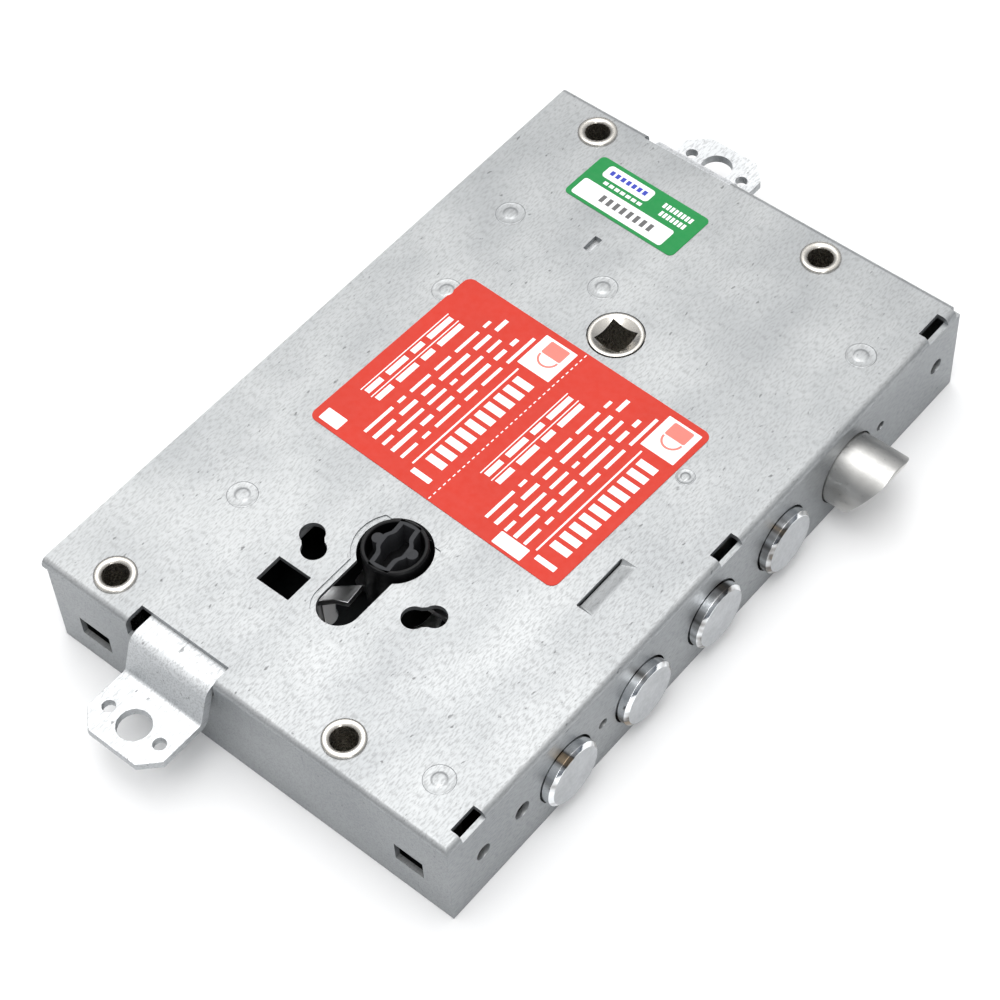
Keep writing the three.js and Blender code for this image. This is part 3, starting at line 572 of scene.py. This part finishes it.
def make_hub():
    half_square, half_arm = 4, 3
    profile = [(0, 0.3), (7.0, 0.3), (7.3, 0.6), (7.3, 2), (8, 2), (8, 28.2), (7.3, 28.2),
               (7.3, 30.0), (7.2, 30.22), (7.0, 30.3), (6.35, 30.3), (6.1, 30.2), (3.6, 28.6),
               (0, 28.6)]
    arm = rectangle(HUB_X - half_arm, HUB_X + half_arm, HUB_Y + 5, HUB_Y + 19)
    square = rectangle(HUB_X - half_square, HUB_X + half_square,
                       HUB_Y - half_square, HUB_Y + half_square)
    hub = lathe("spindle_hub_fine", profile, 96, (HUB_X, HUB_Y, 0))
    combine(hub, prism("arm", arm, 15.6, 19.6), "UNION")
    combine(hub, prism("square", square, -PAST, DEPTH + PAST))
    finish_piece(hub, "hub", NICKEL, ["spindle_hub"], edge=0.1)


# ---- cylinder blank ------------------------------------------------------------------
def ridge_outline(inset):
    """A long recess with a swelling at its middle, drawn about the origin along Y."""
    reach, steps = 7.6 - inset, 40
    narrow, swelling, swelling_reach = 2.9, 1.4, 2.6
    heights = [-reach + 2 * reach * i / steps for i in range(steps + 1)]
    widths = [narrow + swelling / (1 + (h / swelling_reach) ** 6) - inset for h in heights]
    right = list(zip(widths, heights))
    return right + [(-w, h) for w, h in reversed(right)]


def turned_outline(outline, degrees, x, y):
    """Turns an outline about the origin, then moves the origin to (x, y)."""
    c, s = math.cos(math.radians(degrees)), math.sin(math.radians(degrees))
    return [(x + a * c - b * s, y + a * s + b * c) for a, b in outline]


def make_blank():
    """The plastic blank in the cylinder opening: a round cup with a ridge on its floor."""
    top, radius, turn, wall = DEPTH + 1.8, 8.3, 8, 1.2
    floor = top - 7
    rim = radius - 1.1
    profile = [(0, 3), (radius - 3.2, 3), (radius, 8.3), (radius, top - 0.4),
               (radius - 0.3, top), (radius - 0.9, top), (rim, top - 0.2), (rim, floor),
               (0, floor)]
    blank = lathe("cylinder_blank_fine", profile, 96, (CYL_X, CYL_Y, 0))
    finish_piece(blank, "blank", BLACK, ["cylinder_blank"])
    outer = turned_outline(ridge_outline(0), turn, CYL_X, CYL_Y)
    inner = turned_outline(ridge_outline(wall), turn, CYL_X, CYL_Y)
    ridge = prism("blank_ridge", outer, floor - 0.1, top)
    combine(ridge, prism("hollow", inner, floor - PAST, top + PAST))
    for x, y in turned_outline([(4.9, 0), (-4.9, 0)], turn, CYL_X, CYL_Y):
        combine(ridge, prism("boss", circle(x, y, 1.5, 40), floor - 0.1, top - 0.02), "UNION")
    finish_piece(ridge, "blank", RIDGE, edge=0.12)


# ---- labels --------------------------------------------------------------------------
FILM_TOP = DEPTH + 0.15


def printed(name, look, x, y, turn, outlines, level):
    """Print on a label: flat shapes in the label's own X and Y, a hair above the film."""
    bm = bmesh.new()
    for outline in outlines:
        add_prism(bm, turned_outline(outline, turn, x, y), DEPTH + 0.1, FILM_TOP + level * 0.02)
    finish_piece(mesh_object(name, bm), "case", look)


def film(name, look, x, y, turn, width, height, corner):
    outline = turned_outline(rounded(0, 0, width, height, corner), turn, x, y)
    piece = prism(f"{name}_film", outline, DEPTH + 0.01, FILM_TOP)
    finish_piece(piece, "case", look, [name])


def bars(x, y0, y1, width, words):
    """A line of print along Y, broken into word-long dashes of different lengths."""
    total = sum(words) + len(words) - 1
    unit = (y1 - y0) / total
    made, at = [], y0
    for word in words:
        end = at + word * unit - unit * 0.35
        made.append(rectangle(x - width / 2, x + width / 2, at, end))
        at += (word + 1) * unit
    return made


def block_letters(x, y0, y1, height, count):
    """A bold heading as plain upright blocks, no letters."""
    pitch = (y1 - y0) / count
    return [rectangle(x - height / 2, x + height / 2, y0 + i * pitch, y0 + (i + 0.62) * pitch)
            for i in range(count)]


def blocks_along_x(x0, pitch, width, y0, y1, count):
    """A row of equal blocks that stands for a short line of print along X."""
    starts = [x0 + i * pitch for i in range(count)]
    return [rectangle(x, x + width, y0, y1) for x in starts]


def red_panel(shift):
    """One half of the red label: its white print and its pale icon, moved along X."""
    word_sets = [(4, 2, 6, 3, 5, 7), (6, 3, 4, 8, 3, 2), (3, 7, 5, 2, 6, 4), (5, 4, 3, 7, 4, 3),
                 (7, 2, 5, 4, 6, 2)]
    icon_x, icon_y, outer, inner = shift + 33.9, 22.4, 3.1, 2.5
    arch = arc(icon_x, icon_y, outer, 180, 360, 16) + arc(icon_x, icon_y, inner, 360, 180, 16)
    pale = [rounded(icon_x, 25.0, 6.2, 4.4, 0.5), arch]
    white = [rounded(shift + 33.6, 22.2, 10.4, 11.4, 0.2)]
    white += block_letters(shift + 34.4, -21, 14.5, 5.6, 10)
    white.append(rounded(shift + 34.4, -25.4, 6.2, 1.6, 0.2))
    white.append(rectangle(shift + 29.9, shift + 30.4, -24, 15))
    for row, words in enumerate(word_sets):
        thickness = 1.25 if row % 2 else 0.95
        x, y1 = shift + 26.8 - row * 3.1, 25.5 - (row % 3) * 3
        white += bars(x, -24.5, y1, thickness, words)
    for row in (0, 1):
        x = shift + 9.6 - row * 3.6
        white += bars(x, -15, 17, 1.7, (4, 5, 3, 6))
        white.append(rectangle(x - 1.75, x - 1.45, -15.5, 17))
    return white, pale


def make_red_label():
    spot = (-1.65, 0.55, -2.05)
    panel_width, dash, dash_pitch, dash_start, dash_count = 40.5, 0.9, 1.75, -29.4, 34
    film("red_label", RED, *spot, 2 * panel_width, 59.7, 2.3)
    white, pale = [], []
    for shift in (-panel_width, 0):
        panel_white, panel_pale = red_panel(shift)
        white += panel_white
        pale += panel_pale
    starts = [dash_start + i * dash_pitch for i in range(dash_count)]
    white += [rectangle(-0.15, 0.15, start, start + dash) for start in starts]
    white.append(rounded(24.6, -27.0, 9.0, 4.0, 0.3))
    white.append(rounded(-35.0, -26.6, 6.4, 4.0, 0.3))
    printed("red_label_print", WHITE, *spot, white, 1)
    printed("red_label_print_icon", PINK, *spot, pale, 2)


def make_green_label():
    spot = (-22.2, 77.7, -1.9)
    film("green_label", GREEN, *spot, 36.8, 16.4, 1.5)
    white = [rounded(-6.6, 4.6, 15.6, 4.6, 1.2), rounded(-1.6, -4.0, 30.6, 6.4, 0.9)]
    white += blocks_along_x(-12, 1.9, 1.4, 0.3, 1.4, 7)
    white += blocks_along_x(5.4, 1.25, 0.85, 3.8, 5.6, 8)
    white += blocks_along_x(6.4, 1.25, 0.85, 1.0, 2.8, 7)
    marks = blocks_along_x(-12.8, 1.85, 1.2, 3.9, 5.5, 7)
    serial = blocks_along_x(-9, 2.3, 1.25, -5.2, -2.6, 8)
    printed("green_label_print", WHITE, *spot, white, 1)
    printed("green_label_print_mark", BLUE, *spot, marks, 2)
    printed("green_label_print_serial", INK, *spot, serial, 2)


# ---- carried over CAD nodes ----------------------------------------------------------
def refine(name, body, material, edge):
    """A copy of a CAD node with flat faces merged and its edges broken."""
    copy = bpy.data.objects.new(f"{name}_fine", frame["nodes"][name].data.copy())
    bpy.context.scene.collection.objects.link(copy)
    bm = bmesh.new()
    bm.from_mesh(copy.data)
    bmesh.ops.scale(bm, vec=(1 / MM,) * 3, verts=bm.verts)
    bmesh.ops.remove_doubles(bm, verts=bm.verts, dist=1e-4)
    bmesh.ops.dissolve_limit(bm, angle_limit=math.radians(1), verts=bm.verts, edges=bm.edges)
    bm.to_mesh(copy.data)
    bm.free()
    return finish_piece(copy, body, material, [name], edge=edge)


def refine_bodies():
    """Every CAD node that has no hand-made piece of its own."""
    slots = {row["node"]: row["material_slot"] for row in frame["record"]["subparts"]}
    looks = {"galvanised": STRAP, "nickel": NICKEL, "steel": STEEL}
    done = {"case_cover", "case_base", "red_label", "green_label", "latch_bolt", "spindle_hub",
            "cylinder_blank"}
    for body, names in frame["record"]["behaviour"]["bodies"].items():
        for name in names:
            if name in done or name.startswith(("bush_", "deadbolt_")):
                continue
            edge = 0.3 if name in ("upper_rod", "lower_rod") else 0.08
            piece = refine(name, body, looks[slots[name]], edge)
            if name == "latch_spring":
                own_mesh(piece)


# ---- stage ---------------------------------------------------------------------------
def area_light(name, spot, width, height, power):
    """A rectangular lamp that is aimed at the origin."""
    lamp = bpy.data.lights.new(name, "AREA")
    lamp.shape, lamp.size, lamp.size_y, lamp.energy = "RECTANGLE", width, height, power
    obj = bpy.data.objects.new(name, lamp)
    obj.location = spot
    obj.rotation_euler = (-Vector(spot)).to_track_quat("-Z", "Y").to_euler()
    bpy.context.scene.collection.objects.link(obj)


def make_floor():
    width, drop = 4, 0.0002
    bpy.ops.mesh.primitive_plane_add(size=width, location=(0, 0, -drop))
    floor = bpy.context.object
    floor.name = "floor"
    material, _, shader = new_material("pale_floor")
    shader.inputs["Base Color"].default_value = grey(0.94)
    shader.inputs["Roughness"].default_value = 0.9
    floor.data.materials.append(material)


def make_world():
    """Light from all round, dim blue-grey at the horizon and white overhead."""
    horizon, zenith = (0.13, 0.145, 0.17, 1), grey(1)
    world = bpy.data.worlds.new("studio")
    world.use_nodes = True
    tree = world.node_tree
    direction = node(tree, "ShaderNodeTexCoord").outputs["Generated"]
    height = node(tree, "ShaderNodeSeparateXYZ", {"Vector": direction}).outputs["Z"]
    sky = blend_colours(tree, spread(tree, height, 0.05, 0.85, 0, 1), horizon, zenith)
    background = tree.nodes["Background"]
    tree.links.new(sky, background.inputs["Color"])
    background.inputs["Strength"].default_value = 0.95
    bpy.context.scene.world = world


def make_stage():
    make_floor()
    make_world()
    area_light("key", (-0.25, 0.16, 0.9), 0.7, 0.7, 2.9)
    area_light("fill", (0.9, -0.6, 0.35), 0.3, 0.6, 1.6)
    area_light("overhead", (0.2, -0.25, 1.1), 0.6, 0.6, 4.2)
    bpy.context.scene.view_settings.view_transform = "Standard"


def make_camera():
    """The photograph's viewpoint: a long lens above the lower front corner."""
    camera = bpy.data.objects.new("camera", bpy.data.cameras.new("camera"))
    bpy.context.scene.collection.objects.link(camera)
    camera.data.lens = 95.9
    camera.data.clip_start = 0.01
    camera.location = (0.2735, -0.2985, 0.5492)
    forward = Vector((-0.4063, 0.4339, -0.8041)).normalized()
    right = Vector((0.7667, 0.6407, -0.0416))
    right = (right - forward * right.dot(forward)).normalized()
    up = right.cross(forward)
    turn = Matrix((right, up, -forward)).transposed()
    camera.rotation_euler = turn.to_euler()
    bpy.context.scene.camera = camera


make_camera()
make_stage()
make_cover()
make_base()
make_lever()
make_stakes()
make_bushes()
make_deadbolts()
make_latch()
make_hub()
make_blank()
make_red_label()
make_green_label()
refine_bodies()
